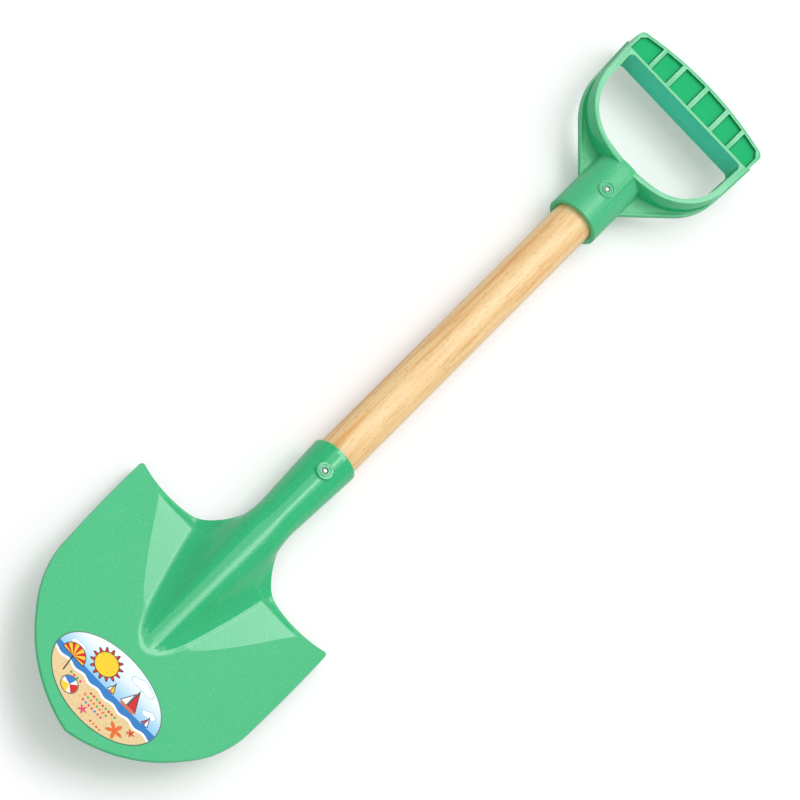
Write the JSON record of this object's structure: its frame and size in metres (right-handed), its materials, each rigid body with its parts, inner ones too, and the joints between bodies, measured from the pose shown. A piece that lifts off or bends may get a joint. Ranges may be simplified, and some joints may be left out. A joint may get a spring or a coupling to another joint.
{
  "type": "sand shovel",
  "caption": "Child's beach shovel: pointed dished plastic blade, round wooden shaft, plastic D-handle, each socket held by a nail; oval label on the blade.",
  "frame": {"origin": "middle of the bounding box, at the level of the back of the handle's socket, on which the shovel lies", "axes": "+X along the shaft towards the handle, -X towards the blade's point, +Y across the blade, +Z out of the shovel's front"},
  "size_m": [0.5766, 0.1494, 0.0338],
  "materials": {
    "blade": "satin, faint orange-peel texture",
    "shaft": "sanded, clear varnish",
    "d_handle": "satin",
    "sticker": "printed vinyl",
    "nail": "bright wire"
  },
  "bodies": {
    "root": {"blade": "blade", "shaft": "shaft", "d_handle": "d_handle", "sticker": "sticker", "handle_nail": "nail", "blade_nail": "nail"}
  },
  "joints": []
}
